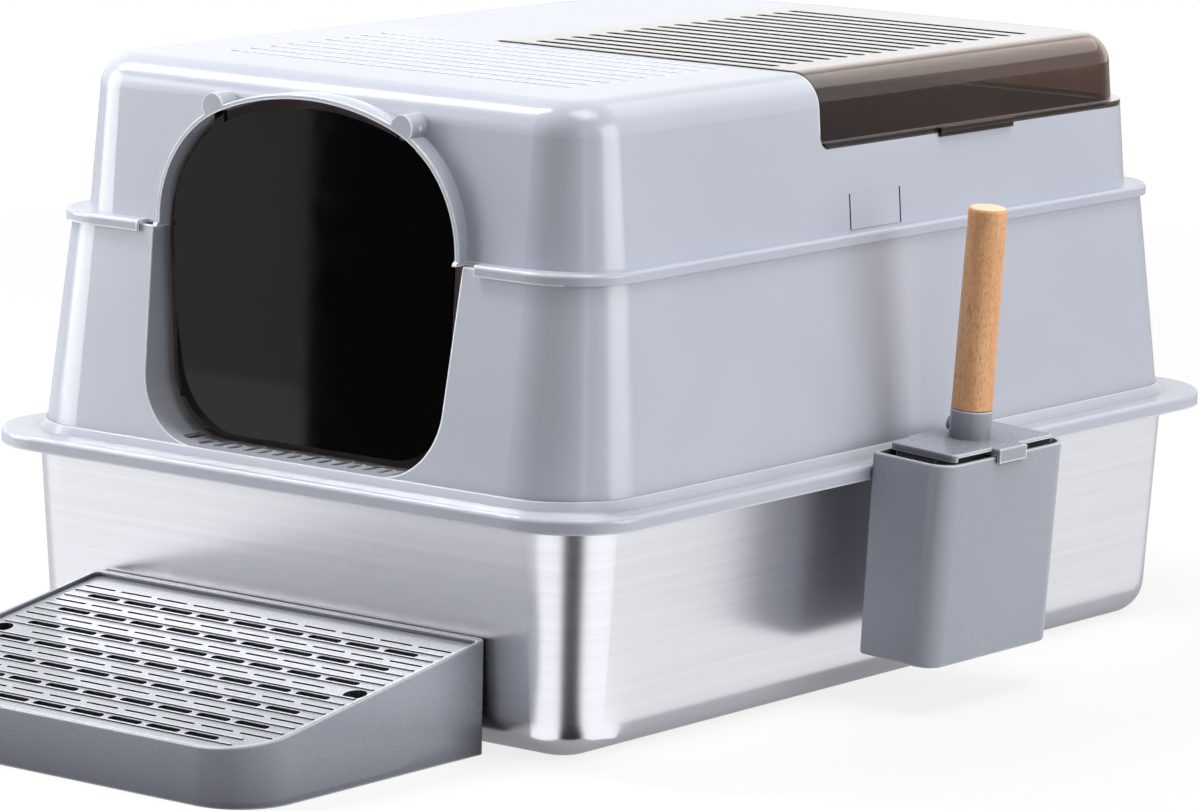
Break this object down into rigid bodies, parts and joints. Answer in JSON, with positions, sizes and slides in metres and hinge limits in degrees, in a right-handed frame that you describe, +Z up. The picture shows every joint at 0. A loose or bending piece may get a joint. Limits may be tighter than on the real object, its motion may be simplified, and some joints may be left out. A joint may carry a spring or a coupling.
{
  "type": "covered litter box",
  "caption": "Large covered litter box: drawn steel pan, plastic splash guard and hood, swing entry flap, flip lid, side pocket with a wooden-handled scoop, and a loose slotted step.",
  "frame": {"origin": "centre of the pan's flat underside, on the floor", "axes": "+Z up, -Y towards the front with the entry and the step, +X right, towards the scoop holder"},
  "size_m": [0.5593, 0.891, 0.3916],
  "materials": {
    "pan_steel": "satin brushed",
    "pale_plastic": "satin",
    "grey_plastic": "satin",
    "brown_clear": "gloss",
    "smoked_clear": "gloss",
    "handle_wood": "sanded",
    "pin_steel": "plain"
  },
  "bodies": {
    "pan": {"steel_pan": "pan_steel"},
    "guard": {"splash_guard": "pale_plastic"},
    "cover": {"top_cover": "pale_plastic", "lid_hinge_pin_front": "pin_steel", "lid_hinge_pin_rear": "pin_steel", "flap_hinge_pin_left": "pin_steel", "flap_hinge_pin_right": "pin_steel"},
    "latch_right": {"cover_latch_right": "pale_plastic"},
    "latch_left": {"cover_latch_left": "pale_plastic"},
    "lid": {"flip_lid": "brown_clear"},
    "flap": {"entry_flap": "smoked_clear"},
    "holder": {"scoop_holder": "grey_plastic"},
    "scoop": {"scoop_head": "grey_plastic", "scoop_handle": "handle_wood", "handle_screw": "pin_steel"},
    "step": {"step_base": "grey_plastic"},
    "grate": {"step_grate": "pale_plastic"}
  },
  "joints": [
    {"name": "guard_lift", "type": "slide", "parent": "pan", "child": "guard", "axis": [0, 0, 1], "range_m": [0, 0.18]},
    {"name": "cover_lift", "type": "slide", "parent": "guard", "child": "cover", "axis": [0, 0, 1], "range_m": [0, 0.15]},
    {"name": "lid_hinge", "type": "hinge", "parent": "cover", "child": "lid", "pos_m": [-0.0505, 0.1, 0.3855], "axis": [0, -1, 0], "range_deg": [0, 95]},
    {"name": "flap_hinge", "type": "hinge", "parent": "cover", "child": "flap", "pos_m": [0, -0.305, 0.368], "axis": [1, 0, 0], "range_deg": [-35, 70]},
    {"name": "latch_right_press", "type": "hinge", "parent": "cover", "child": "latch_right", "pos_m": [0.20386, -0.0071, 0.315], "axis": [0, 1, 0], "range_deg": [0, 5], "stiffness_Nm_per_rad": 0.5},
    {"name": "latch_left_press", "type": "hinge", "parent": "cover", "child": "latch_left", "pos_m": [-0.20386, -0.0071, 0.315], "axis": [0, -1, 0], "range_deg": [0, 5], "stiffness_Nm_per_rad": 0.5},
    {"name": "holder_lift", "type": "slide", "parent": "guard", "child": "holder", "axis": [0.0628, 0, 0.998], "range_m": [0, 0.2]},
    {"name": "scoop_lift", "type": "slide", "parent": "holder", "child": "scoop", "axis": [0.0628, 0, 0.998], "range_m": [0, 0.15]},
    {"name": "step_slide", "type": "slide", "parent": "pan", "child": "step", "axis": [0, -1, 0], "range_m": [0, 0.2]},
    {"name": "grate_lift", "type": "slide", "parent": "step", "child": "grate", "axis": [0, -0.1589, 0.9873], "range_m": [0, 0.06]}
  ]
}
